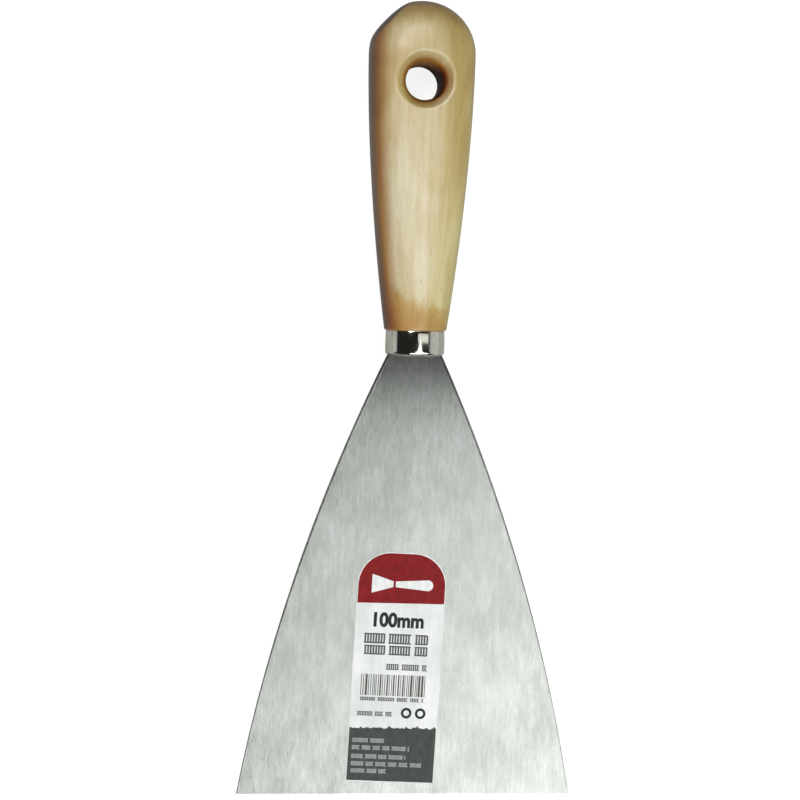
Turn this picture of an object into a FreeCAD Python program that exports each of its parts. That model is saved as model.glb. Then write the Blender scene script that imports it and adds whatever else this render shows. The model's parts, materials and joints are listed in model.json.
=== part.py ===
"""Broad putty and taping knife: flared steel blade, ferrule and oval beech handle.

Drawn in millimetres in the tool's own frame, and laid down on its back at the end:
  X across the blade, Y along the tool towards the handle, Z out of the blade's front face.
  y = 0 is the ferrule's end face, where the blade's shoulders seat; z = 0 is the blade's mid-plane.
The finished parts rest on the plane Z = 0, on the belly of the handle and the working edge,
with the origin under the middle of the tool.
"""

import FreeCAD, Part
import math
import os
from FreeCAD import Rotation, Vector

# Blade: one piece of spring steel, ground thinner towards the working edge
BLADE_WIDTH = 100.0  # length of the working edge
BLADE_LENGTH = 131.0  # ferrule's end face to working edge
BLADE_ROOT_WIDTH = 16.4  # across the shoulders
BLADE_SIDE_BULGE = 4.65  # how far each curved side stands outside its chord
BLADE_ROOT_THICKNESS = 2.0
BLADE_TIP_THICKNESS = 0.7
EDGE_BEVEL_WIDTH = 0.9  # ground on the front, along the working edge
EDGE_THICKNESS = 0.4  # what the bevel leaves
SIDE_ROUNDING_AT_ROOT = 0.8  # the corners of the curved sides, rounded on the grinding belt
SIDE_ROUNDING_AT_TIP = 0.2

# Tang: the end of the blade that is glued into the handle
TANG_WIDTH = 10.0
TANG_END_WIDTH = 7.0
TANG_LENGTH = 58.0  # from the blade's shoulders
NOTCH_COUNT = 3  # down each side, for the glue to key into
NOTCH_DEPTH = 1.2
NOTCH_LENGTH = 3.0
NOTCH_PITCH = 13.0
NOTCH_START = 20.0  # shoulders to the middle of the first notch

# Handle: one piece of beech, oval in section, with a domed end
HANDLE_LENGTH = 96.4  # the wood that shows, beyond the ferrule
HANDLE_WIDTH = 31.3
HANDLE_THICKNESS = 21.0
NECK_WIDTH = 18.4  # at the ferrule
NECK_THICKNESS = 14.9
SWELLING_POWER = 1.75  # 2 swells on a parabola, less swells more evenly
NECK_SQUARENESS = 2.0  # exponent of the oval: 2 is an ellipse, more is squarer
BELLY_SQUARENESS = 2.55
NECK_EASING = 0.6  # the rounded corner of the shoulder above the ferrule

# Hanging hole, through the thickness of the handle
HOLE_DIAMETER = 11.0
HOLE_LIP_RADIUS = 2.5
HOLE_FROM_END = 24.0  # at the middle of the thickness

# Ferrule: a drawn steel cup pressed over the handle's tenon
FERRULE_LENGTH = 7.4
FERRULE_WALL = 0.5
FERRULE_STEP = 0.45  # how far the wood stands proud of the ferrule
FERRULE_NOSE_RADIUS = 1.1
FERRULE_RIM_ROUNDING = 0.18
TANG_CLEARANCE = 0.2  # around the tang, where it passes through the ferrule's end
TENON_END_GAP = 0.3  # tenon to the inside of the ferrule's end

# Glue line around the tang
GLUE_GAP = 0.4
GLUE_END_GAP = 2.0

# Label: a film stuck on the front of the blade
LABEL_WIDTH = 26.4
LABEL_LENGTH = 68.4
LABEL_THICKNESS = 0.12
LABEL_SHOULDER_RADIUS = 9.5
LABEL_CORNER_RADIUS = 0.8
LABEL_FROM_EDGE = 4.3
LABEL_OFFSET = -4.4  # sideways, from the blade's centre line to the middle of its lower edge
LABEL_TURN = -2.2  # degrees, as it was stuck on

# Worked out from the sizes above
FERRULE_WIDTH = NECK_WIDTH - 2 * FERRULE_STEP
FERRULE_THICKNESS = NECK_THICKNESS - 2 * FERRULE_STEP
NECK_Y = FERRULE_LENGTH  # where the handle's visible wood begins
HANDLE_END_Y = NECK_Y + HANDLE_LENGTH
DOME_RADIUS = HANDLE_WIDTH / 2  # the end is a half round in plan
BELLY_Y = HANDLE_END_Y - DOME_RADIUS  # the widest station
HOLE_Y = HANDLE_END_Y - HOLE_FROM_END
SLOT_WIDTH = TANG_WIDTH + 2 * GLUE_GAP
SLOT_THICKNESS = BLADE_ROOT_THICKNESS + 2 * GLUE_GAP
SLOT_END_Y = TANG_LENGTH + GLUE_END_GAP
TENON_END_Y = FERRULE_WALL + TENON_END_GAP
FACE_SLOPE = math.atan2((BLADE_ROOT_THICKNESS - BLADE_TIP_THICKNESS) / 2, BLADE_LENGTH)

# No rounding takes more of a wall than this
SIDE_ROUNDING_LIMIT = 0.45

# How finely the handle's curves are sampled
RING_POINTS = 20  # round half of a section
BODY_STATIONS = 12
DOME_STATIONS = 12
EASING_STATIONS = 4
DOME_CAP_ANGLE = 86.5  # degrees; the last few make a flat under 2 mm across


def box(width, thickness, y_from, y_to):
    """A box centred on the tool's axis, from y_from to y_to."""
    corner = Vector(-width / 2, y_from, -thickness / 2)
    return Part.makeBox(width, y_to - y_from, thickness, corner)


def oval_prism(width, thickness, y_from, y_to):
    """An elliptical prism along the tool's axis."""
    across = width >= thickness
    major, minor = max(width, thickness) / 2, min(width, thickness) / 2
    centre = Vector(0, y_from, 0)
    major_end = centre + (Vector(major, 0, 0) if across else Vector(0, 0, major))
    minor_end = centre + (Vector(0, 0, minor) if across else Vector(minor, 0, 0))
    ring = Part.Wire(Part.Ellipse(major_end, minor_end, centre).toShape())
    return Part.Face(ring).extrude(Vector(0, y_to - y_from, 0))


def arc_through_bulge(start, end, bulge):
    """The arc from start to end that stands `bulge` outside its chord, away from the tool's axis."""
    chord = end - start
    outward = Vector(chord.y, -chord.x, 0).normalize()
    middle = (start + end) * 0.5
    if outward.x * middle.x < 0:
        outward = outward * -1
    return Part.Arc(start, middle + outward * bulge, end).toShape()


# Handle -----------------------------------------------------------------------------------


def share_of_belly(y):
    """0 at the neck, rising less and less steeply to 1 at the belly."""
    along = min(max((y - NECK_Y) / (BELLY_Y - NECK_Y), 0.0), 1.0)
    return 1 - (1 - along) ** SWELLING_POWER


def half_sizes(y):
    """Half the handle's width and thickness at a station."""
    share = share_of_belly(y)
    half_width = (NECK_WIDTH + (HANDLE_WIDTH - NECK_WIDTH) * share) / 2
    half_thickness = (NECK_THICKNESS + (HANDLE_THICKNESS - NECK_THICKNESS) * share) / 2
    if y > BELLY_Y:
        dome = math.sqrt(max(1 - ((y - BELLY_Y) / DOME_RADIUS) ** 2, 0.0))
        half_width, half_thickness = half_width * dome, half_thickness * dome
    return half_width, half_thickness


def half_ring(y, sign, inset):
    """The front (sign 1) or back (sign -1) half of the handle's section: half a superellipse."""
    half_width, half_thickness = half_sizes(y)
    squareness = NECK_SQUARENESS + (BELLY_SQUARENESS - NECK_SQUARENESS) * share_of_belly(y)
    points = []
    for i in range(RING_POINTS + 1):
        turn = sign * math.pi * i / RING_POINTS
        c, s = math.cos(turn), math.sin(turn)
        reach = (abs(c) ** squareness + abs(s) ** squareness) ** (-1 / squareness)
        points.append(Vector((half_width - inset) * reach * c, y, (half_thickness - inset) * reach * s))
    even_spacing = [i / RING_POINTS for i in range(RING_POINTS + 1)]
    rise = Vector(0, 0, sign)
    curve = Part.BSplineCurve()
    curve.interpolate(
        Points=points, Parameters=even_spacing, InitialTangent=rise, FinalTangent=rise * -1
    )
    return curve.toShape()


def handle_ring(y, inset=0.0):
    """The closed outline of the handle's section at a station."""
    back = half_ring(y, -1, inset)
    back.reverse()
    return Part.Wire([half_ring(y, 1, inset), back])


def handle_body():
    """The turned and sanded outside of the handle: eased neck, long swelling, domed end."""
    neck = []
    for i in range(EASING_STATIONS + 1):
        turn = math.pi / 2 * i / EASING_STATIONS
        y = NECK_Y + NECK_EASING * (1 - math.cos(turn))
        neck.append(handle_ring(y, NECK_EASING * (1 - math.sin(turn))))
    start = NECK_Y + NECK_EASING
    swelling = [start + (BELLY_Y - start) * i / BODY_STATIONS for i in range(BODY_STATIONS)]
    cap = math.radians(DOME_CAP_ANGLE)
    dome = [BELLY_Y + DOME_RADIUS * math.sin(cap * i / DOME_STATIONS) for i in range(DOME_STATIONS + 1)]
    body = Part.makeLoft([handle_ring(y) for y in swelling + dome], True, False)
    return body.fuse(Part.makeLoft(neck, True, False))


def edges_where(shape, test):
    """The shape's edges whose every sampled point passes a test."""
    return [e for e in shape.Edges if all(test(p) for p in e.discretize(7))]


def hole_axis():
    """The bore's direction: it is drilled upright through the handle as the tool lies at rest."""
    lean = math.radians(rest_pitch())
    return Vector(0, math.sin(lean), math.cos(lean))


def is_hole_rim(point):
    """True on the two edges where the hanging hole breaks the handle's surface."""
    from_axis = (point - Vector(0, HOLE_Y, 0)).cross(hole_axis()).Length
    return abs(from_axis - HOLE_DIAMETER / 2) < 0.01 and abs(point.z) > HANDLE_THICKNESS / 4


def make_handle():
    """Beech handle, with its tenon, the slot for the tang and the hanging hole."""
    drill = Part.makeCylinder(
        HOLE_DIAMETER / 2,
        2 * HANDLE_THICKNESS,
        Vector(0, HOLE_Y, 0) - hole_axis() * HANDLE_THICKNESS,
        hole_axis(),
    )
    drilled = handle_body().cut(drill)
    rounded = drilled.makeFillet(HOLE_LIP_RADIUS, edges_where(drilled, is_hole_rim))
    tenon = oval_prism(
        FERRULE_WIDTH - 2 * FERRULE_WALL,
        FERRULE_THICKNESS - 2 * FERRULE_WALL,
        TENON_END_Y,
        NECK_Y,
    )
    slot = box(SLOT_WIDTH, SLOT_THICKNESS, TENON_END_Y, SLOT_END_Y)
    return rounded.fuse(tenon).cut(slot)


# Ferrule ----------------------------------------------------------------------------------


def make_ferrule():
    """Drawn cup with a rounded nose and a slot for the tang."""
    outside = oval_prism(FERRULE_WIDTH, FERRULE_THICKNESS, 0, FERRULE_LENGTH)
    nose = edges_where(outside, lambda p: abs(p.y) < 0.001)
    outside = outside.makeFillet(FERRULE_NOSE_RADIUS, nose)
    rim = edges_where(outside, lambda p: abs(p.y - FERRULE_LENGTH) < 0.001)
    outside = outside.makeFillet(FERRULE_RIM_ROUNDING, rim)
    inside = oval_prism(
        FERRULE_WIDTH - 2 * FERRULE_WALL,
        FERRULE_THICKNESS - 2 * FERRULE_WALL,
        FERRULE_WALL,
        FERRULE_LENGTH,
    )
    slot = box(
        TANG_WIDTH + 2 * TANG_CLEARANCE,
        BLADE_ROOT_THICKNESS + 2 * TANG_CLEARANCE,
        -FERRULE_WALL,
        2 * FERRULE_WALL,
    )
    return outside.cut(inside).cut(slot)


# Blade ------------------------------------------------------------------------------------


def tang_half_width(y):
    """The tang narrows evenly from the shoulders to its end."""
    return (TANG_WIDTH + (TANG_END_WIDTH - TANG_WIDTH) * y / TANG_LENGTH) / 2


def tang_side(sign):
    """Points up one side of the tang, from the shoulder to its end, in and out of the notches."""
    points = [Vector(sign * tang_half_width(0), 0, 0)]
    for i in range(NOTCH_COUNT):
        middle = NOTCH_START + i * NOTCH_PITCH
        for y, depth in (
            (middle - NOTCH_LENGTH / 2, 0),
            (middle, NOTCH_DEPTH),
            (middle + NOTCH_LENGTH / 2, 0),
        ):
            points.append(Vector(sign * (tang_half_width(y) - depth), y, 0))
    points.append(Vector(sign * TANG_END_WIDTH / 2, TANG_LENGTH, 0))
    return points


def blade_plan():
    """The blade and tang as seen from the front."""
    tips = [Vector(sign * BLADE_WIDTH / 2, -BLADE_LENGTH, 0) for sign in (-1, 1)]
    roots = [Vector(sign * BLADE_ROOT_WIDTH / 2, 0, 0) for sign in (-1, 1)]
    tang = tang_side(1) + tang_side(-1)[::-1]
    edges = [
        Part.makeLine(tips[0], tips[1]),
        arc_through_bulge(tips[1], roots[1], BLADE_SIDE_BULGE),
        *Part.makePolygon([roots[1], *tang, roots[0]]).Edges,
        arc_through_bulge(roots[0], tips[0], BLADE_SIDE_BULGE),
    ]
    return Part.Face(Part.Wire(edges))


def blade_profile():
    """The blade and tang as seen from the side, with the working edge bevelled on the front."""
    root, tip = BLADE_ROOT_THICKNESS / 2, BLADE_TIP_THICKNESS / 2
    bevel_y = -BLADE_LENGTH + EDGE_BEVEL_WIDTH
    bevel_z = tip + EDGE_BEVEL_WIDTH * math.tan(FACE_SLOPE)
    corners = [
        (-BLADE_LENGTH, -tip),
        (-BLADE_LENGTH, EDGE_THICKNESS - tip),
        (bevel_y, bevel_z),
        (0, root),
        (TANG_LENGTH, root),
        (TANG_LENGTH, -root),
        (0, -root),
        (-BLADE_LENGTH, -tip),
    ]
    outline = Part.makePolygon([Vector(-BLADE_WIDTH, y, z) for y, z in corners])
    return Part.Face(outline).extrude(Vector(2 * BLADE_WIDTH, 0, 0))


def is_sharp_side(point):
    """True along the curved sides of the blade, where they meet its front or back face."""
    face_height = BLADE_ROOT_THICKNESS / 2 + point.y * math.tan(FACE_SLOPE)
    on_face = abs(abs(point.z) - face_height) < 0.005
    outside_shoulders = point.y < 0.01 and abs(point.x) > BLADE_ROOT_WIDTH / 2 - 0.01
    return on_face and outside_shoulders


def make_blade():
    """Blade and tang in one piece, its sides rounded most at the shoulders."""
    slab = blade_plan().extrude(Vector(0, 0, 2 * BLADE_ROOT_THICKNESS))
    slab.translate(Vector(0, 0, -BLADE_ROOT_THICKNESS))
    blade = slab.common(blade_profile())
    at_root = min(SIDE_ROUNDING_AT_ROOT, SIDE_ROUNDING_LIMIT * BLADE_ROOT_THICKNESS)
    at_tip = min(SIDE_ROUNDING_AT_TIP, SIDE_ROUNDING_LIMIT * EDGE_THICKNESS)
    for runs_down, radii in ((True, (at_root, at_tip)), (False, (at_tip, at_root))):
        sides = [e for e in edges_where(blade, is_sharp_side) if e.Length > BLADE_LENGTH / 2]
        sides = [e for e in sides if (e.Vertexes[0].Y > e.Vertexes[-1].Y) == runs_down]
        if sides:
            blade = blade.makeFillet(*radii, sides)
    return blade


def make_tang_adhesive(blade):
    """The hardened glue that fills the handle's slot around the tang."""
    return box(SLOT_WIDTH, SLOT_THICKNESS, TENON_END_Y, SLOT_END_Y).cut(blade)


# Label ------------------------------------------------------------------------------------


def make_label():
    """Film with rounded shoulders, drawn around its lower edge and set on the blade's front."""
    film = Part.makeBox(LABEL_WIDTH, LABEL_LENGTH, LABEL_THICKNESS, Vector(-LABEL_WIDTH / 2, 0, 0))
    for radius, end_y in ((LABEL_SHOULDER_RADIUS, LABEL_LENGTH), (LABEL_CORNER_RADIUS, 0)):
        end_edges = edges_where(film, lambda p: abs(p.y - end_y) < 0.001)
        uprights = [e for e in end_edges if abs(e.tangentAt(e.FirstParameter).z) > 0.5]
        film = film.makeFillet(radius, uprights)
    film.rotate(Vector(), Vector(0, 0, 1), LABEL_TURN)
    film.translate(Vector(LABEL_OFFSET, -BLADE_LENGTH + LABEL_FROM_EDGE, 0))
    film.rotate(Vector(0, -BLADE_LENGTH, 0), Vector(1, 0, 0), math.degrees(FACE_SLOPE))
    film.translate(Vector(0, 0, BLADE_TIP_THICKNESS / 2))
    return film


# Resting place ----------------------------------------------------------------------------


def rest_pitch():
    """Degrees by which the tool tips to lie on the belly of the handle and its working edge."""
    edge_y, edge_z = -BLADE_LENGTH, BLADE_TIP_THICKNESS / 2
    steps = 2000
    slopes = []
    for i in range(steps + 1):
        y = NECK_Y + HANDLE_LENGTH * i / steps
        slopes.append(math.atan2(half_sizes(y)[1] - edge_z, y - edge_y))
    return math.degrees(max(slopes))


def lay_down(shapes):
    """Tips every part by the same angle, and puts the origin under the middle of the tool."""
    pitch = rest_pitch()
    for shape in shapes.values():
        shape.rotate(Vector(), Vector(1, 0, 0), pitch)
    whole = Part.makeCompound(list(shapes.values())).optimalBoundingBox(False, False)
    shift = Vector(0, -(whole.YMin + whole.YMax) / 2, -whole.ZMin)
    for shape in shapes.values():
        shape.translate(shift)
    hole = Rotation(Vector(1, 0, 0), pitch).multVec(Vector(0, HOLE_Y, 0)) + shift
    print("tipped by", round(pitch, 4), "degrees; middle of the hanging hole", hole)


def main():
    blade = make_blade()
    parts = {
        "blade": blade,
        "ferrule": make_ferrule(),
        "handle": make_handle(),
        "tang_adhesive": make_tang_adhesive(blade),
        "label": make_label(),
    }
    lay_down(parts)
    os.makedirs("parts", exist_ok=True)
    for name, shape in parts.items():
        (solid,) = shape.Solids
        solid.exportStep(f"parts/{name}.step")
        print(name, "valid" if solid.isValid() else "not valid", round(solid.Volume, 1), "mm3")


main()
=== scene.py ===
import json
import math
import random

import bmesh
import bpy
import numpy as np
from mathutils import Matrix, Vector


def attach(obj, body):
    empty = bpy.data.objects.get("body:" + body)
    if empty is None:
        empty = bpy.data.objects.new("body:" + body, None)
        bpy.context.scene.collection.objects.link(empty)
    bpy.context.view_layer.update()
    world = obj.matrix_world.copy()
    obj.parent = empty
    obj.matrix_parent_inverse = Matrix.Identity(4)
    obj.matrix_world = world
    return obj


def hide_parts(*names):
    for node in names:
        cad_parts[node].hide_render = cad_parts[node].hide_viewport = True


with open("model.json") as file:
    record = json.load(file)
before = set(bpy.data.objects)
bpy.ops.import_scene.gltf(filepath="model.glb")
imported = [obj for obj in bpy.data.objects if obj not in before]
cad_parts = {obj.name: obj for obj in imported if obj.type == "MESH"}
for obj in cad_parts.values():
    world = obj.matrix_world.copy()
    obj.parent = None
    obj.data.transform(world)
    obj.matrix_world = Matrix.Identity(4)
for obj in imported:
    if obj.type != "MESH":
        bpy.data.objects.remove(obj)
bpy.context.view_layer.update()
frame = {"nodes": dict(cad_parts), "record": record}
print("frame loaded:", sorted(frame["nodes"]))

mm = 0.001
scene = bpy.context.scene


def hexColour(text):
    # an sRGB hex value as the linear colour that Blender's sockets take
    parts = [int(text[i:i + 2], 16) / 255 for i in (0, 2, 4)]
    linear = [c / 12.92 if c <= 0.04045 else ((c + 0.055) / 1.055) ** 2.4 for c in parts]
    return (*linear, 1.0)


def grey(value):
    return (value, value, value, 1.0)


def setStops(elements, stops):
    # a colour ramp's stops, each (position, hex colour or linear grey)
    while len(elements) < len(stops):
        elements.new(0.5)
    for element, (position, colour) in zip(elements, stops):
        element.position = position
        element.color = hexColour(colour) if isinstance(colour, str) else grey(colour)


def addNode(tree, kind, settings=None, links=None):
    # one node, with its properties, its sockets' values, a ramp's stops and what feeds its sockets
    node = tree.nodes.new(kind)
    for name, value in (settings or {}).items():
        if name == "stops":
            setStops(node.color_ramp.elements, value)
        elif isinstance(name, str) and hasattr(node, name):
            setattr(node, name, value)
        else:
            node.inputs[name].default_value = value
    for name, source in (links or {}).items():
        tree.links.new(source, node.inputs[name])
    return node


def newMaterial(name):
    # an empty node material with its output, and the object's own coordinates
    material = bpy.data.materials.new(name)
    material.use_nodes = True
    tree = material.node_tree
    tree.nodes.clear()
    out = addNode(tree, "ShaderNodeOutputMaterial")
    place = addNode(tree, "ShaderNodeTexCoord")
    return material, tree, out, place.outputs["Object"]


def mottle(tree, place, size, detail=2.0, roughness=0.5, distortion=0.0):
    # a noise pattern whose blots are size = (x, y, z) millimetres across
    perMetre = tuple(1 / (s * mm) for s in size)
    scaled = addNode(tree, "ShaderNodeMapping", {"Scale": perMetre}, {"Vector": place})
    noise = addNode(tree, "ShaderNodeTexNoise", {
        "Scale": 1.0, "Detail": detail, "Roughness": roughness, "Distortion": distortion,
    }, {"Vector": scaled.outputs["Vector"]})
    return noise.outputs["Fac"]


def washed(tree, pattern, stops, washes=()):
    # a tone that follows a pattern, darkened by washes, each (strength, pattern, stops)
    tone = addNode(tree, "ShaderNodeValToRGB", {"stops": stops}, {"Fac": pattern}).outputs["Color"]
    for strength, source, washStops in washes:
        wash = addNode(tree, "ShaderNodeValToRGB", {"stops": washStops}, {"Fac": source})
        mix = addNode(tree, "ShaderNodeMix", {"data_type": "RGBA", "blend_type": "MULTIPLY", 0: strength}, {
            6: tone, 7: wash.outputs["Color"],
        })
        tone = mix.outputs[2]
    return tone


def setMaterial(piece, material):
    piece.data.materials.clear()
    piece.data.materials.append(material)


def newPiece(name, mesh, material):
    # a finished mesh as a piece that rides on the tool's one body
    piece = bpy.data.objects.new(name, mesh)
    scene.collection.objects.link(piece)
    setMaterial(piece, material)
    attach(piece, "root")
    return piece


tool = {  # millimetres, along the tool from the ferrule's end face
    "ferruleLength": 7.4,
    "handleLength": 96.4,
    "bellyWidth": 31.3,
    "holeFromEnd": 24.0,
    "bladeLength": 131.0,
    "rootThickness": 2.0,
    "tipThickness": 0.7,
    "beltFlat": (-0.712, 0.702),  # across and along: which way the sanded shoulder of the handle faces
}

# the two mounts give the tool's tilt and its place
mounts = {m["name"]: m for m in frame["record"]["mounts"]}
bore = Vector(mounts["hanging_hole"]["pos_m"])
back = Vector(mounts["blade_back"]["pos_m"])
backNormal = Vector(mounts["blade_back"]["axis"])
faceSlope = math.atan((tool["rootThickness"] - tool["tipThickness"]) / 2 / tool["bladeLength"])
tilt = math.atan2(backNormal.y, -backNormal.z) + faceSlope
neckY = tool["ferruleLength"]
endY = neckY + tool["handleLength"]
holeY = endY - tool["holeFromEnd"]
startY = bore.y - holeY * mm * math.cos(tilt)
rootBack = Matrix.Rotation(tilt, 3, "X") @ Vector((0, 0, -tool["rootThickness"] / 2 * mm))
startZ = back.z - rootBack.z - (startY + rootBack.y - back.y) * backNormal.y / backNormal.z
toolFrame = Matrix.Translation((0, startY, startZ)) @ Matrix.Rotation(tilt, 4, "X") @ Matrix.Scale(mm, 4)
print("tool tipped by", round(math.degrees(tilt), 3), "degrees, its ferrule starts at", round(startY / mm, 3))

cameraSetup = {  # millimetres and degrees, in the tool's own frame
    "place": (-108.28, 22.79, 741.92),
    "turn": (-2.951, -7.928, 1.452),
    "lens": 114.55,
}

camera = bpy.data.cameras.new("camera")
camera.lens = cameraSetup["lens"]
cameraObject = bpy.data.objects.new("camera", camera)
scene.collection.objects.link(cameraObject)
cameraObject.location = toolFrame @ Vector(cameraSetup["place"])
turn = Matrix.Rotation(tilt, 3, "X")
for axis, angle in zip("ZYX", reversed(cameraSetup["turn"])):
    turn = turn @ Matrix.Rotation(math.radians(angle), 3, axis)
cameraObject.rotation_euler = turn.to_euler()
scene.camera = cameraObject

lights = {  # name: (degrees across and along from overhead, size, brightness, colour)
    "panelFoot": ((17, -44), (0.95, 0.36), 5.9, "ffffff"),
    "panelHead": ((-4, 40), (0.42, 0.36), 6.0, "ffffff"),
    "panelFront": ((14, -18), (0.40, 0.42), 2.1, "ffffff"),
    "panelTop": ((-16, 20), (0.30, 0.30), 9.0, "ffffff"),
    "stripRight": ((24, 0), (0.09, 0.60), 1.0, "fdfffa"),
}


def addLight(name, angles, size, brightness, colour):
    # a soft panel one metre off, turned to the tool; its power follows from its size
    data = bpy.data.lights.new(name, "AREA")
    data.shape = "RECTANGLE"
    data.size, data.size_y = size
    data.energy = brightness * math.pi * size[0] * size[1]
    data.color = hexColour(colour)[:3]
    light = bpy.data.objects.new(name, data)
    scene.collection.objects.link(light)
    across, along = (math.tan(math.radians(a)) for a in angles)
    light.location = Vector((across, along, 1)).normalized()
    light.rotation_euler = (-light.location).to_track_quat("-Z", "Y").to_euler()


for name, settings in lights.items():
    addLight(name, *settings)

room = {
    "seen": "f4f5f3",
    "low": 0.55,
    "dark": 0.02,
    "right": 0.60,
}


def studioRoom():
    # pale to the eye; the tool mirrors a room that is dark on its left and grey on its right
    world = bpy.data.worlds.new("studio")
    world.use_nodes = True
    tree = world.node_tree
    tree.nodes.clear()
    out = addNode(tree, "ShaderNodeOutputWorld")
    place = addNode(tree, "ShaderNodeTexCoord")
    axes = addNode(tree, "ShaderNodeSeparateXYZ", {}, {"Vector": place.outputs["Generated"]})
    across = addNode(tree, "ShaderNodeMapRange", {"From Min": -1.0, "From Max": 1.0}, {
        "Value": axes.outputs["X"],
    })
    walls = addNode(tree, "ShaderNodeValToRGB", {"stops": (
        (0.025, room["low"]), (0.05, room["dark"]), (0.84, room["dark"]), (0.90, room["right"]),
    )}, {"Fac": across.outputs["Result"]})
    path = addNode(tree, "ShaderNodeLightPath")
    shown = addNode(tree, "ShaderNodeMix", {"data_type": "RGBA", 7: hexColour(room["seen"])}, {
        0: path.outputs["Is Camera Ray"], 6: walls.outputs["Color"],
    })
    light = addNode(tree, "ShaderNodeBackground", {}, {"Color": shown.outputs[2]})
    tree.links.new(light.outputs["Background"], out.inputs["Surface"])
    return world


scene.world = studioRoom()
scene.view_settings.view_transform = "Standard"

floorSetup = {
    "size": 4.0,  # metres
    "board": "f4f5f3",
    "matt": 0.38,
    "glow": 0.96,
    "shade": 0.45,  # what the tool sees of it
}


def lightTable():
    # white acrylic lit from below, which softens the shadow; the tool itself sees a dimmer board
    material, tree, out, place = newMaterial("white acrylic light table")
    cloud = mottle(tree, place, (180, 180, 180))
    tint = washed(tree, cloud, ((0.3, "f2f3f1"), (0.7, floorSetup["board"])))
    board = addNode(tree, "ShaderNodeBsdfDiffuse", {"Color": grey(floorSetup["matt"]), "Roughness": 0.6})
    glow = addNode(tree, "ShaderNodeEmission", {"Strength": floorSetup["glow"]}, {"Color": tint})
    lit = addNode(tree, "ShaderNodeAddShader")
    tree.links.new(board.outputs["BSDF"], lit.inputs[0])
    tree.links.new(glow.outputs["Emission"], lit.inputs[1])
    dim = addNode(tree, "ShaderNodeBsdfDiffuse", {"Color": grey(floorSetup["shade"])})
    path = addNode(tree, "ShaderNodeLightPath")
    mix = addNode(tree, "ShaderNodeMixShader", {}, {"Fac": path.outputs["Is Camera Ray"]})
    tree.links.new(dim.outputs["BSDF"], mix.inputs[1])
    tree.links.new(lit.outputs["Shader"], mix.inputs[2])
    tree.links.new(mix.outputs["Shader"], out.inputs["Surface"])
    return material


floorMesh = bpy.data.meshes.new("floor")
half = floorSetup["size"] / 2
corners = [(-half, -half, 0), (half, -half, 0), (half, half, 0), (-half, half, 0)]
floorMesh.from_pydata(corners, [], [(0, 1, 2, 3)])
floor = bpy.data.objects.new("floor", floorMesh)
scene.collection.objects.link(floor)
setMaterial(floor, lightTable())
print("camera, lights and floor made")


beechTones = {
    "dark": "d6c9a2",
    "pale": "e7e1c8",
    "wallTone": "d6a868",
    "wallFrom": 6.2,  # millimetres from the middle of the hole: the wall's darker, more orange tone up to here, the beech's own from the next
    "wallTo": 7.7,
    # painted light and shade by which way a side faces: the direction, where its toning begins, is half there
    # and is full, and the two colours
    "sides": (
        # painted shade: the left flank in brown
        ((-1, 0, 0), (0.42, 0.75, 1.0), ("c39046", "6c4a12")),
        # painted light: an olive tint on the right flank
        ((1, 0, 0), (0.0, 0.25, 1.0), ("e8e4c7", "e4e1ad")),
        # painted shade: the dome at the head, darker as it turns away
        ((0, 1, 0), (0.34, 0.74, 0.97), ("cfb988", "5a3d1a")),
        # painted shade: the sanded shoulder, dark brown
        ((*tool["beltFlat"], 0), (0.75, 0.86, 0.97), ("8a6a3c", "2e1d0b")),
    ),
    # shares of the way from the neck to the head: lacquer that ran down and pooled, then handling
    "along": (
        (0.0, "dcb880"), (0.07, "e6cc9a"), (0.13, "ffffff"), (0.42, "ffffff"), (0.62, "f0e9d8"), (1.0, "dccfac"),
    ),
    "alongFrom": 14.0,  # millimetres from the ferrule's end
    "alongPast": 7.0,  # millimetres past the handle's end
    "ragged": 16.0,  # millimetres that the blots move the pooled lacquer's edge
    "leaning": 0.45,  # how much further up it ran on the left
}

steelTones = {
    "strokes": ((0.30, "b4b7b4"), (0.52, "c5c8c5"), (0.75, "d0d3d0")),
    "broad": ((0.3, "dadcd8"), (0.7, "ffffff")),
    "clouds": ((0.35, "dfe3de"), (0.65, "ffffff")),
    # painted dark reflection: how much of the steel's colour is left, darker the nearer it is to the ferrule
    "skin": ((0.0, 0.22), (0.08, 0.31), (0.2, 0.60), (0.33, 0.82), (0.55, 0.94), (1.0, 1.0)),
    "rootShadeReach": 56.0,  # millimetres
}


def springSteel():
    # cold-rolled spring steel, belt ground lengthwise: grey satin with fine short strokes along the blade,
    # drawn a little coarser than the grit leaves them, so that they show
    material, tree, out, place = newMaterial("spring steel, belt ground lengthwise")
    strokes = mottle(tree, place, (0.40, 2.6, 2.6), 3.0, 0.6)
    broad = mottle(tree, place, (1.4, 7.0, 7.0), 2.0, 0.6)
    clouds = mottle(tree, place, (9.0, 14.0, 14.0), 3.0, 0.6)
    axes = addNode(tree, "ShaderNodeSeparateXYZ", {}, {"Vector": place})
    # painted dark reflection: the steel's colour darkens towards the ferrule, by how far along the blade
    down = addNode(tree, "ShaderNodeMapRange", {
        "From Min": startY, "From Max": startY - steelTones["rootShadeReach"] * mm,
    }, {"Value": axes.outputs["Y"]})
    tone = washed(tree, strokes, steelTones["strokes"], (
        (0.6, broad, steelTones["broad"]),
        (0.7, clouds, steelTones["clouds"]),
        (1.0, down.outputs["Result"], steelTones["skin"]),
    ))
    gloss = addNode(tree, "ShaderNodeMapRange", {
        "From Min": 0.3, "From Max": 0.7, "To Min": 0.26, "To Max": 0.42,
    }, {"Value": strokes})
    relief = addNode(tree, "ShaderNodeBump", {"Strength": 0.35, "Distance": 0.02 * mm}, {"Height": strokes})
    shader = addNode(tree, "ShaderNodeBsdfPrincipled", {"Metallic": 1.0}, {
        "Base Color": tone, "Roughness": gloss.outputs["Result"], "Normal": relief.outputs["Normal"],
    })
    tree.links.new(shader.outputs["BSDF"], out.inputs["Surface"])
    return material


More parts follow.
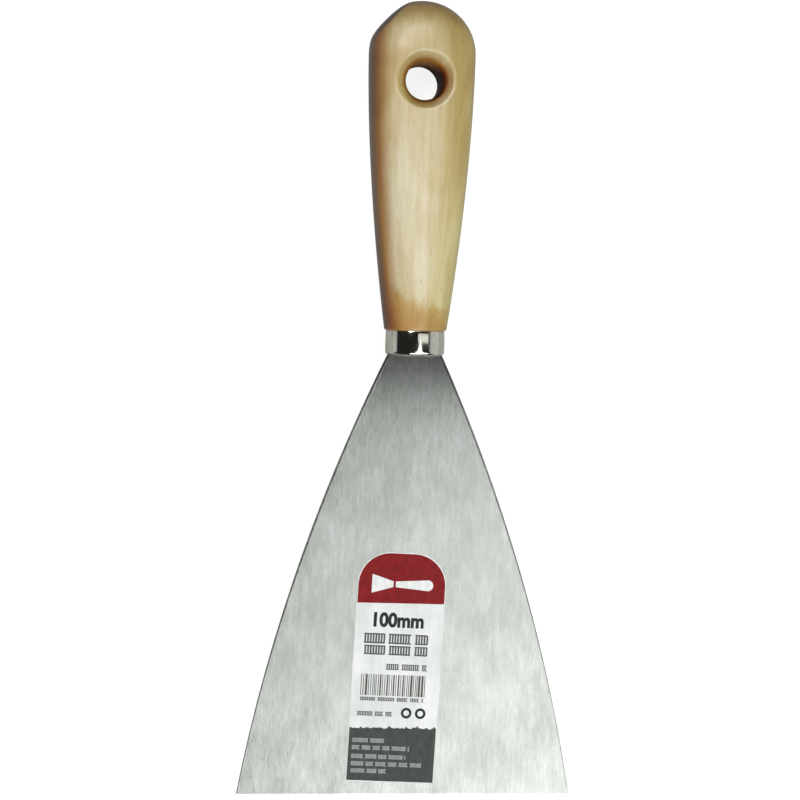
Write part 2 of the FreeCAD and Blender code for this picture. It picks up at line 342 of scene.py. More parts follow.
def nickelPlate():
    # bright nickel over drawn steel: a warm mirror with faint drawing lines round it
    material, tree, out, place = newMaterial("nickel plate over drawn steel")
    rings = mottle(tree, place, (6.0, 0.25, 6.0))
    haze = mottle(tree, place, (2.5, 2.5, 2.5))
    tone = washed(tree, haze, ((0.3, "d2d1c4"), (0.7, "e2e1d6")))
    gloss = addNode(tree, "ShaderNodeMapRange", {
        "From Min": 0.3, "From Max": 0.7, "To Min": 0.05, "To Max": 0.11,
    }, {"Value": haze})
    relief = addNode(tree, "ShaderNodeBump", {"Strength": 0.12, "Distance": 0.005 * mm}, {"Height": rings})
    shader = addNode(tree, "ShaderNodeBsdfPrincipled", {"Metallic": 1.0}, {
        "Base Color": tone, "Roughness": gloss.outputs["Result"], "Normal": relief.outputs["Normal"],
    })
    tree.links.new(shader.outputs["BSDF"], out.inputs["Surface"])
    return material


def paintedSideShading(tree):
    # painted light and shade: toning on the sides that face one way, by the surface's own direction
    faces = addNode(tree, "ShaderNodeTexCoord")
    washes = []
    for direction, places, (half, full) in beechTones["sides"]:
        facing = addNode(tree, "ShaderNodeVectorMath", {"operation": "DOT_PRODUCT", 1: direction}, {
            0: faces.outputs["Normal"],
        })
        washes.append((1.0, facing.outputs["Value"], list(zip(places, ("ffffff", half, full)))))
    return washes


def endWash(tree, place):
    # lacquer pooled near the ferrule, with a ragged edge, and a darker head
    blots = mottle(tree, place, (5.0, 7.0, 5.0), 3.0, 0.6, 0.6)
    axes = addNode(tree, "ShaderNodeSeparateXYZ", {}, {"Vector": place})
    leaning = addNode(tree, "ShaderNodeMath", {"operation": "MULTIPLY_ADD", 1: beechTones["leaning"]}, {
        0: axes.outputs["X"], 2: axes.outputs["Y"],
    })
    ragged = addNode(tree, "ShaderNodeMath", {"operation": "MULTIPLY_ADD", 1: beechTones["ragged"] * mm}, {
        0: blots, 2: leaning.outputs[0],
    })
    along = addNode(tree, "ShaderNodeMapRange", {
        "From Min": startY + beechTones["alongFrom"] * mm,
        "From Max": startY + endY * mm + beechTones["alongPast"] * mm,
    }, {"Value": ragged.outputs[0]})
    return (1.0, along.outputs["Result"], beechTones["along"])


def holeWash(tree, place):
    # the hole's wall, darker and more orange than the rest
    fromHole = addNode(tree, "ShaderNodeMapping", {
        "Location": (0.0, -bore.y, 0.0), "Scale": (1.0, 1.0, 0.0),
    }, {"Vector": place})
    away = addNode(tree, "ShaderNodeVectorMath", {"operation": "LENGTH"}, {"Vector": fromHole.outputs["Vector"]})
    wall = addNode(tree, "ShaderNodeMapRange", {
        "From Min": beechTones["wallFrom"] * mm, "From Max": beechTones["wallTo"] * mm,
    }, {"Value": away.outputs["Value"]})
    return (1.0, wall.outputs["Result"], ((0.0, beechTones["wallTone"]), (1.0, "ffffff")))


def lacqueredBeech():
    # beech, sanded and dipped in clear lacquer: pale straw with faint streaks and ray flecks; painted shade
    # darkens the left flank, the head's dome and the sanded shoulder, a painted olive tint lights the right, the
    # hole's wall is darker
    material, tree, out, place = newMaterial("beech, sanded and lacquered")
    streaks = mottle(tree, place, (1.5, 60.0, 1.5), 3.0, 0.55, 0.2)
    bands = mottle(tree, place, (6.0, 120.0, 6.0), 2.0, 0.5, 0.2)
    flecks = mottle(tree, place, (0.4, 2.4, 0.4), 1.0)
    patches = mottle(tree, place, (14.0, 30.0, 14.0), 2.0, 0.5, 0.6)
    tone = washed(tree, streaks, ((0.25, beechTones["dark"]), (0.75, beechTones["pale"])), [
        (0.6, bands, ((0.3, "e8dabc"), (0.62, "ffffff"))),
        (0.35, flecks, ((0.24, "a9845a"), (0.34, "ffffff"))),
        (0.6, patches, ((0.34, "e6cb98"), (0.56, "ffffff"))),
        # painted light and shade on the flanks, the head's dome and the sanded shoulder
        *paintedSideShading(tree),
        endWash(tree, place),
        holeWash(tree, place),
    ])
    relief = addNode(tree, "ShaderNodeBump", {"Strength": 0.2, "Distance": 0.04 * mm}, {"Height": streaks})
    shader = addNode(tree, "ShaderNodeBsdfPrincipled", {
        "Roughness": 0.5, "Coat Weight": 0.8, "Coat Roughness": 0.3, "Coat IOR": 1.5,
    }, {"Base Color": tone, "Normal": relief.outputs["Normal"]})
    tree.links.new(shader.outputs["BSDF"], out.inputs["Surface"])
    return material


def labelFilm():
    # thin white plastic film, calendered: the steel's lengthwise grain shows through it faintly
    material, tree, out, place = newMaterial("white label film")
    grain = mottle(tree, place, (0.7, 8.0, 8.0), 2.0, 0.6)
    clouds = mottle(tree, place, (8.0, 12.0, 12.0))
    tone = washed(tree, grain, ((0.3, "e8ebe9"), (0.7, "f2f4f3")), (
        (0.8, clouds, ((0.35, "e8ebe9"), (0.65, "ffffff"))),
    ))
    shader = addNode(tree, "ShaderNodeBsdfPrincipled", {"Roughness": 0.42}, {"Base Color": tone})
    tree.links.new(shader.outputs["BSDF"], out.inputs["Surface"])
    return material


def printInk(name, dark, pale):
    # offset ink on film: even and nearly matt, with a slight mottle where the ink is thinner
    material, tree, out, place = newMaterial(name)
    tone = washed(tree, mottle(tree, place, (1.2, 2.4, 2.4), 3.0, 0.6), ((0.3, dark), (0.7, pale)))
    shader = addNode(tree, "ShaderNodeBsdfPrincipled", {
        "Roughness": 0.45, "Specular IOR Level": 0.2,
    }, {"Base Color": tone})
    tree.links.new(shader.outputs["BSDF"], out.inputs["Surface"])
    return material


def curedResin():
    # hardened brown glue, amber where it is thin
    material, tree, out, place = newMaterial("hardened resin glue")
    cloud = mottle(tree, place, (3.0, 5.0, 3.0), 3.0, 0.6)
    tone = washed(tree, cloud, ((0.3, "7a4f22"), (0.7, "b07a38")))
    shader = addNode(tree, "ShaderNodeBsdfPrincipled", {
        "Roughness": 0.35, "Coat Weight": 0.3,
    }, {"Base Color": tone})
    tree.links.new(shader.outputs["BSDF"], out.inputs["Surface"])
    return material


beech = lacqueredBeech()
nickel = nickelPlate()
setMaterial(frame["nodes"]["blade"], springSteel())
setMaterial(frame["nodes"]["label"], labelFilm())
setMaterial(frame["nodes"]["tang_adhesive"], curedResin())
print("steel, film and resin on the carried-over nodes")

handle = {  # millimetres
    "rule": {  # the node tree's inputs
        "Neck Y": neckY,
        "Belly Y": endY - tool["bellyWidth"] / 2,
        "Dome Radius": tool["bellyWidth"] / 2,
        "Neck Width": 18.4,
        "Belly Width": tool["bellyWidth"],
        "Neck Thickness": 14.9,
        "Belly Thickness": 21.0,
        "Neck Squareness": 2.0,
        "Belly Squareness": 2.55,
        "Swelling Power": 1.75,
        "Hole Y": holeY,
        "Hole Radius": 5.5,
    },
    "voxel": 0.36,
    "lipChamfer": 3.0,  # the hole's lips, with the radii that ease them outside and inside
    "lipOuter": 0.5,
    "lipInner": 1.2,
    "neckEasing": 0.6,
    "flatFromDome": 14.85,  # from the middle of the dome to the sanded shoulder
    "flatEasing": 1.5,
    "tenonWidth": 16.5,
    "tenonThickness": 13.0,
    "tenonEnd": 0.8,
    "tenonRoot": 1.0,  # how far it runs into the body
    "slotWidth": 10.8,
    "slotThickness": 2.8,
    "slotEnd": 60.0,
}


def addInputs(tree, values):
    # named number inputs, and the one output
    for name, value in values.items():
        socket = tree.interface.new_socket(name, in_out="INPUT", socket_type="NodeSocketFloat")
        socket.default_value = value
    tree.interface.new_socket("Material", in_out="INPUT", socket_type="NodeSocketMaterial")
    tree.interface.new_socket("Geometry", in_out="OUTPUT", socket_type="NodeSocketGeometry")
    return addNode(tree, "NodeGroupInput").outputs


def handleRule():
    # a grid wrapped round the handle: its first rows close the neck, its last ones the dome
    tree = bpy.data.node_groups.new("handleRule", "GeometryNodeTree")
    given = addInputs(tree, handle["rule"])
    grid = addNode(tree, "GeometryNodeMeshGrid", {
        "Size X": 1.0, "Size Y": 1.0, "Vertices X": 129, "Vertices Y": 141,
    })
    position = addNode(tree, "GeometryNodeInputPosition")
    spot = addNode(tree, "ShaderNodeSeparateXYZ", {}, {"Vector": position.outputs[0]})
    found = {name: given[name] for name in handle["rule"]}
    found["across"] = spot.outputs["X"]
    for name, low, high in (("cap", -0.5, -0.45), ("body", -0.45, 0.2), ("dome", 0.2, 0.5)):
        part = addNode(tree, "ShaderNodeMapRange", {"From Min": low, "From Max": high}, {
            "Value": spot.outputs["Y"],
        })
        found[name] = part.outputs["Result"]
    steps = (  # a name, an operation, and the names or numbers it works on
        ("turn", "MULTIPLY", "across", 2 * math.pi),
        ("cosine", "COSINE", "turn"),
        ("sine", "SINE", "turn"),
        # how far it has swollen from the neck to the belly
        ("bodyLeft", "SUBTRACT", 1.0, "body"),
        ("swellLeft", "POWER", "bodyLeft", "Swelling Power"),
        ("swell", "SUBTRACT", 1.0, "swellLeft"),
        ("widening", "SUBTRACT", "Belly Width", "Neck Width"),
        ("width", "MULTIPLY_ADD", "widening", "swell", "Neck Width"),
        ("thickening", "SUBTRACT", "Belly Thickness", "Neck Thickness"),
        ("thickness", "MULTIPLY_ADD", "thickening", "swell", "Neck Thickness"),
        ("squaring", "SUBTRACT", "Belly Squareness", "Neck Squareness"),
        ("power", "MULTIPLY_ADD", "squaring", "swell", "Neck Squareness"),
        # the squared oval, drawn in to a point at both ends
        ("side", "ABSOLUTE", "cosine"),
        ("face", "ABSOLUTE", "sine"),
        ("sidePower", "POWER", "side", "power"),
        ("facePower", "POWER", "face", "power"),
        ("sum", "ADD", "sidePower", "facePower"),
        ("root", "DIVIDE", -1.0, "power"),
        ("oval", "POWER", "sum", "root"),
        ("domeAngle", "MULTIPLY", "dome", math.pi / 2),
        ("domeCosine", "COSINE", "domeAngle"),
        ("domeSine", "SINE", "domeAngle"),
        ("drawnIn", "MULTIPLY", "cap", "domeCosine"),
        ("ring", "MULTIPLY", "oval", "drawnIn"),
        ("reach", "MULTIPLY", "ring", 0.5),
        ("wide", "MULTIPLY", "width", "reach"),
        ("thick", "MULTIPLY", "thickness", "reach"),
        ("bodyLength", "SUBTRACT", "Belly Y", "Neck Y"),
        ("bodyY", "MULTIPLY_ADD", "bodyLength", "body", "Neck Y"),
        ("x", "MULTIPLY", "wide", "cosine"),
        ("y", "MULTIPLY_ADD", "domeSine", "Dome Radius", "bodyY"),
        ("z", "MULTIPLY", "thick", "sine"),
    )
    for name, operation, *operands in steps:
        numbers = {i: value for i, value in enumerate(operands) if not isinstance(value, str)}
        sources = {i: found[value] for i, value in enumerate(operands) if isinstance(value, str)}
        found[name] = addNode(tree, "ShaderNodeMath", {"operation": operation, **numbers}, sources).outputs[0]
    point = addNode(tree, "ShaderNodeCombineXYZ", {}, {"X": found["x"], "Y": found["y"], "Z": found["z"]})
    skin = addNode(tree, "GeometryNodeSetPosition", {}, {
        "Geometry": grid.outputs["Mesh"], "Position": point.outputs["Vector"],
    })
    closed = addNode(tree, "GeometryNodeMergeByDistance", {"Distance": 0.01}, {
        "Geometry": skin.outputs["Geometry"],
    })
    drill = addNode(tree, "GeometryNodeMeshCylinder", {"Vertices": 96, "Depth": 60.0}, {
        "Radius": given["Hole Radius"],
    })
    middle = addNode(tree, "ShaderNodeCombineXYZ", {}, {"Y": given["Hole Y"]})
    placed = addNode(tree, "GeometryNodeTransform", {"Rotation": (-tilt, 0.0, 0.0)}, {
        "Geometry": drill.outputs["Mesh"], "Translation": middle.outputs["Vector"],
    })
    cut = addNode(tree, "GeometryNodeMeshBoolean", {"operation": "DIFFERENCE"}, {
        "Mesh 1": closed.outputs["Geometry"], "Mesh 2": placed.outputs["Geometry"],
    })
    real = addNode(tree, "GeometryNodeRealizeInstances", {}, {"Geometry": cut.outputs["Mesh"]})
    done = addNode(tree, "GeometryNodeSetMaterial", {}, {
        "Geometry": real.outputs["Geometry"], "Material": given["Material"],
    })
    addNode(tree, "NodeGroupOutput", {}, {"Geometry": done.outputs["Geometry"]})
    return tree


def grow(tree, values, material, start=None):
    # a node tree's result as a plain mesh
    mesh = start or bpy.data.meshes.new("seed")
    seed = bpy.data.objects.new("seed", mesh)
    scene.collection.objects.link(seed)
    modifier = seed.modifiers.new("rule", "NODES")
    modifier.node_group = tree
    for item in tree.interface.items_tree:
        if item.in_out == "INPUT" and item.socket_type != "NodeSocketGeometry":
            modifier[item.identifier] = material if item.name == "Material" else values[item.name]
    seed.update_tag()
    graph = bpy.context.evaluated_depsgraph_get()
    result = bpy.data.meshes.new_from_object(seed.evaluated_get(graph))
    bpy.data.objects.remove(seed)
    return result


def applied(mesh, modifiers):
    # a mesh after some modifiers, each one (kind, settings)
    seed = bpy.data.objects.new("seed", mesh)
    scene.collection.objects.link(seed)
    for kind, settings in modifiers:
        modifier = seed.modifiers.new(kind, kind)
        for name, value in settings.items():
            setattr(modifier, name, value)
    graph = bpy.context.evaluated_depsgraph_get()
    result = bpy.data.meshes.new_from_object(seed.evaluated_get(graph))
    bpy.data.objects.remove(seed)
    return result


def easedCorner(first, second, radius):
    # the solid inside both fields, with its corner rounded
    sharp = np.minimum(-radius, np.maximum(first, second))
    return sharp + np.hypot(np.maximum(first + radius, 0), np.maximum(second + radius, 0))


def bodyRule(points):
    # the handle's body as a field: below nought inside it
    rule = handle["rule"]
    x, y, z = np.abs(points[:, 0]), points[:, 1], np.abs(points[:, 2])
    along = np.clip((y - rule["Neck Y"]) / (rule["Belly Y"] - rule["Neck Y"]), 0, 1)
    swell = 1 - (1 - along) ** rule["Swelling Power"]
    wide = (rule["Neck Width"] + (rule["Belly Width"] - rule["Neck Width"]) * swell) / 2
    thick = (rule["Neck Thickness"] + (rule["Belly Thickness"] - rule["Neck Thickness"]) * swell) / 2
    power = rule["Neck Squareness"] + (rule["Belly Squareness"] - rule["Neck Squareness"]) * swell
    across = ((x / wide) ** power + (z / thick) ** power) ** (1 / power)
    dome = np.maximum(y - rule["Belly Y"], 0) / rule["Dome Radius"]
    return np.hypot(across, dome) - 1


def slopes(field, points, step=0.002):
    # which way a field rises at each point, and how steeply
    found = np.empty_like(points)
    for axis in range(3):
        shift = np.zeros(3)
        shift[axis] = step
        found[:, axis] = (field(points + shift) - field(points - shift)) / (2 * step)
    return found


def woodDistance(points):
    # about how far a point is outside the finished wood
    rule = handle["rule"]
    steep = np.linalg.norm(slopes(bodyRule, points), axis=1)
    depth = bodyRule(points) / np.maximum(steep, 1e-6)
    depth = easedCorner(depth, rule["Neck Y"] - points[:, 1], handle["neckEasing"])
    across, upwards = tool["beltFlat"]
    flat = across * points[:, 0] + upwards * (points[:, 1] - rule["Belly Y"]) - handle["flatFromDome"]
    depth = easedCorner(depth, flat, handle["flatEasing"])
    away = points - np.array([0, rule["Hole Y"], 0])
    sideways = away[:, 1] * math.cos(tilt) - away[:, 2] * math.sin(tilt)
    hole = rule["Hole Radius"] - np.hypot(away[:, 0], sideways)
    chamfer = (depth + hole + handle["lipChamfer"]) * math.sqrt(0.5)
    return easedCorner(easedCorner(depth, chamfer, handle["lipOuter"]), hole, handle["lipInner"])


def easeOnto(mesh, field):
    # smooths the mesh and pulls it onto the surface where the field is nought, in turns
    rounds, smoothings, pulls, longestPull = 4, 3, 4, 0.5
    points = np.empty(len(mesh.vertices) * 3)
    mesh.vertices.foreach_get("co", points)
    points = points.reshape(-1, 3)
    pairs = np.empty(len(mesh.edges) * 2, dtype=int)
    mesh.edges.foreach_get("vertices", pairs)
    first, second = pairs.reshape(-1, 2).T
    count = np.bincount(np.concatenate((first, second)), minlength=len(points))[:, None]
    for turn in range(rounds):
        for smoothing in range(smoothings):
            total = np.zeros_like(points)
            np.add.at(total, first, points[second])
            np.add.at(total, second, points[first])
            points += 0.5 * (total / count - points)
        for pull in range(pulls):
            way = slopes(field, points)
            steep = np.maximum((way ** 2).sum(axis=1), 1e-4)
            move = -way * (field(points) / steep)[:, None]
            points += move / np.maximum(np.linalg.norm(move, axis=1) / longestPull, 1.0)[:, None]
    mesh.vertices.foreach_set("co", points.ravel())
    mesh.update()


def prism(outline, low, high, axis="Z"):
    # a closed prism over a closed outline of (a, b) points; the axis is the one it rises along
    shape = bmesh.new()
    order = {"Z": lambda a, b, h: (a, b, h), "Y": lambda a, b, h: (a, h, b)}[axis]
    rings = [[shape.verts.new(order(a, b, height)) for a, b in outline] for height in (low, high)]
    shape.faces.new(rings[0])
    shape.faces.new(rings[1])
    for i in range(len(outline)):
        j = (i + 1) % len(outline)
        shape.faces.new((rings[0][i], rings[0][j], rings[1][j], rings[1][i]))
    bmesh.ops.recalc_face_normals(shape, faces=shape.faces)
    mesh = bpy.data.meshes.new("prism")
    shape.to_mesh(mesh)
    shape.free()
    return mesh


def oval(width, thickness, count=96):
    angles = [2 * math.pi * i / count for i in range(count)]
    return [(width / 2 * math.cos(a), thickness / 2 * math.sin(a)) for a in angles]


def rectangle(width, height):
    x, y = width / 2, height / 2
    return [(-x, -y), (x, -y), (x, y), (-x, y)]


def closedBand(shape, rings, name):
    # faces between each ring of points and the next, and from the last back to the first
    for ring, following in zip(rings, rings[1:] + rings[:1]):
        for i in range(len(ring)):
            j = (i + 1) % len(ring)
            shape.faces.new((ring[i], ring[j], following[j], following[i]))
    bmesh.ops.recalc_face_normals(shape, faces=shape.faces)
    mesh = bpy.data.meshes.new(name)
    shape.to_mesh(mesh)
    shape.free()
    return mesh


def combined(mesh, other, operation):
    # a boolean between two closed meshes
    cutter = bpy.data.objects.new("cutter", other)
    scene.collection.objects.link(cutter)
    result = applied(mesh, [("BOOLEAN", {"operation": operation, "object": cutter, "solver": "EXACT"})])
    bpy.data.objects.remove(cutter)
    return result


def shaded(mesh, degrees=35):
    # smooth shading, broken where two faces meet at more than an angle
    mesh.shade_smooth()
    mesh.set_sharp_from_angle(angle=math.radians(degrees))
    return mesh


def makeHandle():
    mesh = grow(handleRule(), handle["rule"], beech)
    mesh = applied(mesh, [("REMESH", {"mode": "VOXEL", "voxel_size": handle["voxel"]})])
    easeOnto(mesh, woodDistance)
    tenonOutline = oval(handle["tenonWidth"], handle["tenonThickness"])
    tenon = prism(tenonOutline, handle["tenonEnd"], neckY + handle["tenonRoot"], "Y")
    slot = prism(rectangle(handle["slotWidth"], handle["slotThickness"]), 0.0, handle["slotEnd"], "Y")
    mesh = combined(mesh, tenon, "UNION")
    mesh = combined(mesh, slot, "DIFFERENCE")
    mesh.transform(toolFrame)
    return shaded(mesh)


handlePiece = newPiece("handle_beech", makeHandle(), beech)
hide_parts("handle")
print("handle made,", len(handlePiece.data.polygons), "faces")

ferrule = {  # millimetres
    "width": 17.5,
    "thickness": 14.0,
    "length": tool["ferruleLength"],
    "wall": 0.5,
    "barrel": 0.12,  # how much narrower its two ends are, which bends what it mirrors
    "noseRadius": 1.1,
    "noseFlat": 2.0,  # how far the skin runs in under the end plate
    "rimRadius": 0.2,
    "innerEasing": 0.25,
    "slotWidth": 10.4,
    "slotThickness": 2.4,
    "around": 160,
    "rimSteps": 4,
    "sideSteps": 16,
    "noseSteps": 8,
}


def ferruleProfile():
    # (inset, station) along the wall's section: over the rim, down the outside and round the nose
    nose, rim, length = ferrule["noseRadius"], ferrule["rimRadius"], ferrule["length"]
    points = []
    for i in range(ferrule["rimSteps"] + 1):
        angle = math.pi / 2 * i / ferrule["rimSteps"]
        points.append((rim - rim * math.sin(angle), length - rim + rim * math.cos(angle)))
    for i in range(1, ferrule["sideSteps"]):
        points.append((0.0, length - rim - (length - rim - nose) * i / ferrule["sideSteps"]))
    for i in range(ferrule["noseSteps"] + 1):
        angle = math.pi / 2 * i / ferrule["noseSteps"]
        points.append((nose - nose * math.cos(angle), nose - nose * math.sin(angle)))
    return points


def makeFerrule():
    rows = []
    middle, wall, easing = ferrule["length"] / 2, ferrule["wall"], ferrule["innerEasing"]
    for inset, station in ferruleProfile():
        crown = ferrule["barrel"] * ((station - middle) / middle) ** 2
        rows.append((inset + crown, station))
    inner = rows[-1][0] + ferrule["noseFlat"]
    rows += [
        (inner, 0.0), (inner, wall), (ferrule["noseRadius"] + wall, wall),
        (wall + easing, ferrule["noseRadius"]), (wall, middle), (wall + ferrule["rimRadius"], ferrule["length"]),
    ]
    shape = bmesh.new()
    rings = []
    for inset, station in rows:
        section = oval(ferrule["width"] - 2 * inset, ferrule["thickness"] - 2 * inset, ferrule["around"])
        rings.append([shape.verts.new((x, station, z)) for x, z in section])
    return closedBand(shape, rings, "ferrule")


def ferruleEnd():
    # the flat end of the cup, with the tang's slot through it
    inset = ferrule["barrel"] + ferrule["noseRadius"] + ferrule["noseFlat"] / 2
    outline = oval(ferrule["width"] - 2 * inset, ferrule["thickness"] - 2 * inset, ferrule["around"])
    plate = prism(outline, 0.0, ferrule["wall"], "Y")
    slot = prism(rectangle(ferrule["slotWidth"], ferrule["slotThickness"]), -1.0, 2.0, "Y")
    return combined(combined(makeFerrule(), plate, "UNION"), slot, "DIFFERENCE")


ferruleMesh = ferruleEnd()
ferruleMesh.transform(toolFrame)
ferrulePiece = newPiece("ferrule_cup", shaded(ferruleMesh, 30), nickel)
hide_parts("ferrule")
print("ferrule made,", len(ferrulePiece.data.polygons), "faces")

label = {  # millimetres, from the middle of the film's lower edge
    "fromMiddle": -4.4,
    "fromEdge": 4.3,
    "turn": -2.2,
    "width": 26.4,
    "height": 68.4,
    "film": 0.12,
    "ink": 0.03,
    "sunk": 0.02,  # how far the ink's underside is inside the film
    "shoulder": 9.5,
    "bleed": 0.25,
    "headerFrom": 53.4,
    "headerSlope": 0.3,
    "panelTo": 16.2,
    "panelSlope": 0.25,  # how much higher its right end is than its middle
    "panelSteps": 46,
    "ragged": 0.22,
    "tooth": 0.5,
    "toothShare": 0.12,
    "figuresAt": (-0.65, 46.4),
    "figuresSize": 5.7,
    "figuresWidth": 15.0,
    "figuresWeight": 0.24,
    # lines of ticks: left end, middle height, length, height of a tick, stroke
    "lines": (
        (-10.3, 42.75, 18.9, 2.6, 0.95),
        (-10.1, 39.3, 18.9, 2.4, 0.95),
        (-3.2, 34.4, 12.3, 1.5, 0.75),
        (-11.0, 20.3, 10.5, 1.1, 0.55),
    ),
    "bars": (-10.4, 28.9, 19.0, 6.3),
    "barWidths": (0.22, 0.22, 0.44, 0.62),
    "barGaps": (0.22, 0.3, 0.44),
    "underBars": (-10.4, 24.7, 19.0, 0.9, 0.6),
    "panelLines": (
        (-11.9, 12.3, 9.8, 1.05, 0.5),
        (-11.9, 10.1, 17.2, 1.05, 0.5),
        (-11.9, 7.5, 15.9, 1.05, 0.5),
        (-11.9, 5.3, 21.1, 1.05, 0.5),
        (-11.9, 3.2, 10.6, 1.05, 0.5),
    ),
    "rings": ((3.7, 20.8), (7.9, 20.8)),
    "ringOuter": 1.6,
    "ringInner": 0.85,
    "overprint": 0.02,  # how much higher white and pale ink stand than the colour under them
}

labelFrame = (
    toolFrame
    @ Matrix.Translation((0, -tool["bladeLength"], tool["tipThickness"] / 2))
    @ Matrix.Rotation(faceSlope, 4, "X")
    @ Matrix.Translation((label["fromMiddle"], label["fromEdge"], 0))
    @ Matrix.Rotation(math.radians(label["turn"]), 4, "Z")
)
inkLow, inkHigh = label["film"] - label["sunk"], label["film"] + label["ink"]

redInk = printInk("red ink on film", "76090e", "8c1419")
blackInk = printInk("black ink on film", "1d1f20", "303233")
greyInk = printInk("dark grey ink on film", "3b3f3c", "4b4f4c")
thinInk = printInk("thin black ink on film", "525453", "666867")
barInk = printInk("worn black ink on film", "4d4a47", "67635f")
paleInk = printInk("pale grey ink on film", "989c98", "b2b6b2")
whiteInk = printInk("white ink on film", "dfe2e0", "f4f6f5")


def joined(meshes):
    # several meshes as one
    shape = bmesh.new()
    for mesh in meshes:
        shape.from_mesh(mesh)
    result = bpy.data.meshes.new("joined")
    shape.to_mesh(result)
    shape.free()
    return result


def printPiece(name, mesh, ink):
    mesh.transform(labelFrame)
    return newPiece(name, mesh, ink)


def arc(x, y, radius, start, end, steps):
    angles = [math.radians(start + (end - start) * i / steps) for i in range(steps + 1)]
    return [(x + radius * math.cos(a), y + radius * math.sin(a)) for a in angles]


def headerOutline():
    # red field under the film's rounded shoulders
    edge, radius = label["width"] / 2 - label["bleed"], label["shoulder"]
    top, foot, slope, steps = label["height"] - label["bleed"], label["headerFrom"], label["headerSlope"], 14
    right = arc(edge - radius, top - radius, radius, 0, 90, steps)
    left = arc(-edge + radius, top - radius, radius, 90, 180, steps)
    return [(-edge, foot - slope), (edge, foot + slope), *right, *left]


pictogram = {  # a plain knife lying on its side, in the header
    "middle": (0.2, 59.0),
    "bladeLength": 6.4,
    "bladeWidth": 5.6,
    "neckWidth": 1.7,
    "handleLength": 11.2,
    "handleWidth": 3.2,
    "gap": 0.7,
}


def pictogramMeshes(low, high):
    x, y = pictogram["middle"]
    left = x - (pictogram["bladeLength"] + pictogram["gap"] + pictogram["handleLength"]) / 2
    wide, neck = pictogram["bladeWidth"] / 2, pictogram["neckWidth"] / 2
    right = left + pictogram["bladeLength"]
    blade = [(left, y - wide), (right, y - neck), (right, y + neck), (left, y + wide)]
    start = right + pictogram["gap"]
    end = start + pictogram["handleLength"]
    grip = pictogram["handleWidth"] / 2
    handleShape = [(start, y - neck), *arc(end - grip, y, grip, -90, 90, 12), (start, y + neck)]
    return [prism(blade, low, high), prism(handleShape, low, high)]


def panelOutline():
    # the dark field at the foot, whose upper edge came out a little ragged
    edge, top, steps = label["width"] / 2 - label["bleed"], label["panelTo"], label["panelSteps"]
    dice = random.Random(7)
    ragged = []
    for i in range(steps + 1):
        x = edge - 2 * edge * i / steps
        rise = dice.uniform(-label["ragged"], label["ragged"])
        tooth = label["tooth"] if dice.random() < label["toothShare"] else 0
        ragged.append((x, top + label["panelSlope"] * x / edge + rise + tooth))
    return [(-edge, label["bleed"]), (edge, label["bleed"])] + ragged


def figures():
    # the size of the blade, as on a rule
    curve = bpy.data.curves.new("figures", "FONT")
    curve.body = "100mm"
    curve.size = label["figuresSize"]
    curve.offset = label["figuresWeight"]
    curve.extrude = label["overprint"]
    curve.align_x = "CENTER"
    text = bpy.data.objects.new("figures", curve)
    scene.collection.objects.link(text)
    graph = bpy.context.evaluated_depsgraph_get()
    mesh = bpy.data.meshes.new_from_object(text.evaluated_get(graph))
    bpy.data.objects.remove(text)
    x = [v.co.x for v in mesh.vertices]
    fit = label["figuresWidth"] / (max(x) - min(x))
    place = Matrix.Translation((*label["figuresAt"], inkHigh - label["overprint"]))
    mesh.transform(place @ Matrix.Diagonal((fit, 1.0, 1.0, 1.0)))
    shape = bmesh.new()
    shape.from_mesh(mesh)
    bmesh.ops.remove_doubles(shape, verts=shape.verts, dist=0.001)
    bmesh.ops.recalc_face_normals(shape, faces=shape.faces)
    shape.to_mesh(mesh)
    shape.free()
    return mesh


def markRule():
    # a small block of ink on every point, as big as the point says
    tree = bpy.data.node_groups.new("markRule", "GeometryNodeTree")
    tree.interface.new_socket("Geometry", in_out="INPUT", socket_type="NodeSocketGeometry")
    given = addInputs(tree, {"Thickness": inkHigh - inkLow})
    size = addNode(tree, "ShaderNodeCombineXYZ", {"X": 1.0, "Y": 1.0}, {"Z": given["Thickness"]})
    block = addNode(tree, "GeometryNodeMeshCube", {}, {"Size": size.outputs["Vector"]})
    stretch = addNode(tree, "GeometryNodeInputNamedAttribute", {"data_type": "FLOAT_VECTOR", "Name": "markSize"})
    marks = addNode(tree, "GeometryNodeInstanceOnPoints", {}, {
        "Points": given["Geometry"], "Instance": block.outputs["Mesh"], "Scale": stretch.outputs["Attribute"],
    })
    real = addNode(tree, "GeometryNodeRealizeInstances", {}, {"Geometry": marks.outputs["Instances"]})
    done = addNode(tree, "GeometryNodeSetMaterial", {}, {
        "Geometry": real.outputs["Geometry"], "Material": given["Material"],
    })
    addNode(tree, "NodeGroupOutput", {}, {"Geometry": done.outputs["Geometry"]})
    return tree


markTree = markRule()


def marks(spots, ink):
    # spots are (x, y, width, height)
    mesh = bpy.data.meshes.new("spots")
    level = (inkLow + inkHigh) / 2
    mesh.from_pydata([(x, y, level) for x, y, width, height in spots], [], [])
    sizes = mesh.attributes.new("markSize", "FLOAT_VECTOR", "POINT")
    sizes.data.foreach_set("vector", [c for x, y, width, height in spots for c in (width, height, 1.0)])
    return grow(markTree, {"Thickness": inkHigh - inkLow}, ink, mesh)


tick = {  # shares of a line's stroke, and of its height for the rules
    "pitch": 0.85,
    "width": 0.56,
    "gap": 1.2,
    "group": (2.5, 6.0),
    "groupPitch": 1.6,
    "rule": 0.16,
}


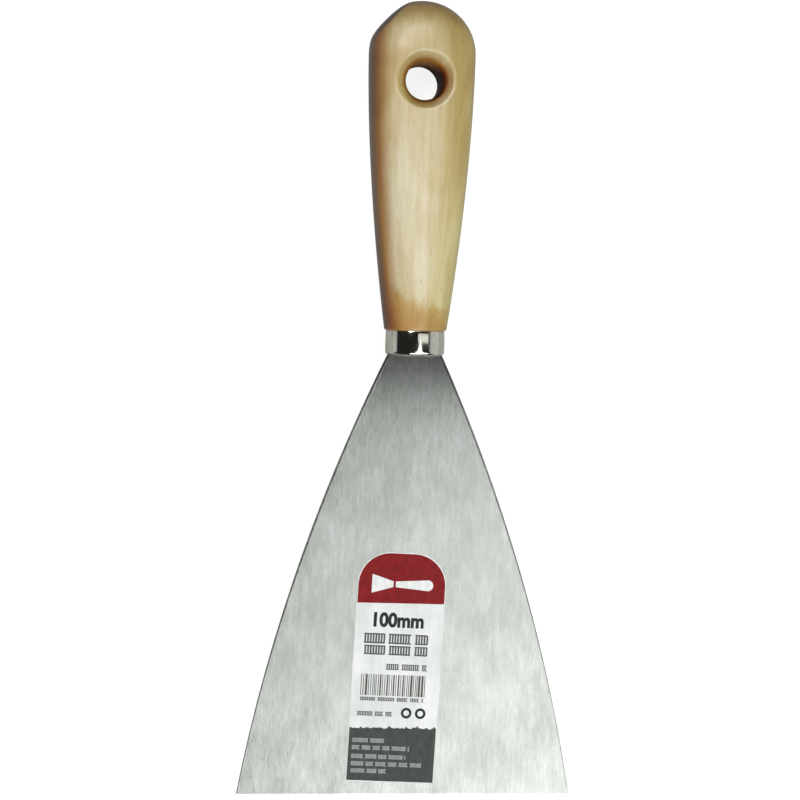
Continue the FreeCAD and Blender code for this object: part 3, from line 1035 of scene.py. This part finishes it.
def plainLine(dice, x, y, length, height, stroke):
    # groups of even upright ticks between two rules, where wording would be; they spell nothing
    spots, at, pitch, rule = [], x, stroke * tick["pitch"], height * tick["rule"]
    while at < x + length:
        group = min(dice.uniform(*tick["group"]) * stroke * tick["groupPitch"], x + length - at)
        for i in range(max(1, round(group / pitch))):
            spots.append((at + pitch * (i + 0.5), y, stroke * tick["width"], height))
        for side in (0.5, -0.5):
            spots.append((at + group / 2, y + height * side, group, rule))
        at += group + stroke * tick["gap"]
    return spots


def barCode(dice, x, y, length, height):
    # upright bars of random widths, which code nothing
    spots, at = [], x
    while at < x + length:
        width = dice.choice(label["barWidths"])
        spots.append((at + width / 2, y, width, height))
        at += width + dice.choice(label["barGaps"])
    return spots


def inkRing(x, y):
    # a flat ring of ink
    outer, inner, steps = label["ringOuter"], label["ringInner"], 28
    angles = [2 * math.pi * i / steps for i in range(steps)]
    shape = bmesh.new()
    rings = []
    for radius, height in ((outer, inkLow), (outer, inkHigh), (inner, inkHigh), (inner, inkLow)):
        circle = [(x + radius * math.cos(a), y + radius * math.sin(a), height) for a in angles]
        rings.append([shape.verts.new(point) for point in circle])
    return closedBand(shape, rings, "ring")


dice = random.Random(11)
wording = [spot for line in label["lines"] for spot in plainLine(dice, *line)]
bars = barCode(dice, *label["bars"]) + plainLine(dice, *label["underBars"])
paleLines = [spot for line in label["panelLines"] for spot in plainLine(dice, *line)]

printPiece("label_header", prism(headerOutline(), inkLow, inkHigh), redInk)
printPiece("label_pictogram", joined(pictogramMeshes(inkLow, inkHigh + label["overprint"])), whiteInk)
printPiece("label_figures", figures(), blackInk)
printPiece("label_lines", marks(wording, thinInk), thinInk)
printPiece("label_bars", marks(bars, barInk), barInk)
printPiece("label_rings", joined([inkRing(x, y) for x, y in label["rings"]]), blackInk)
printPiece("label_panel", prism(panelOutline(), inkLow, inkHigh), greyInk)
paleMesh = marks(paleLines, paleInk)
paleMesh.transform(Matrix.Translation((0, 0, label["overprint"])))
printPiece("label_panel_lines", paleMesh, paleInk)
print("label printed")
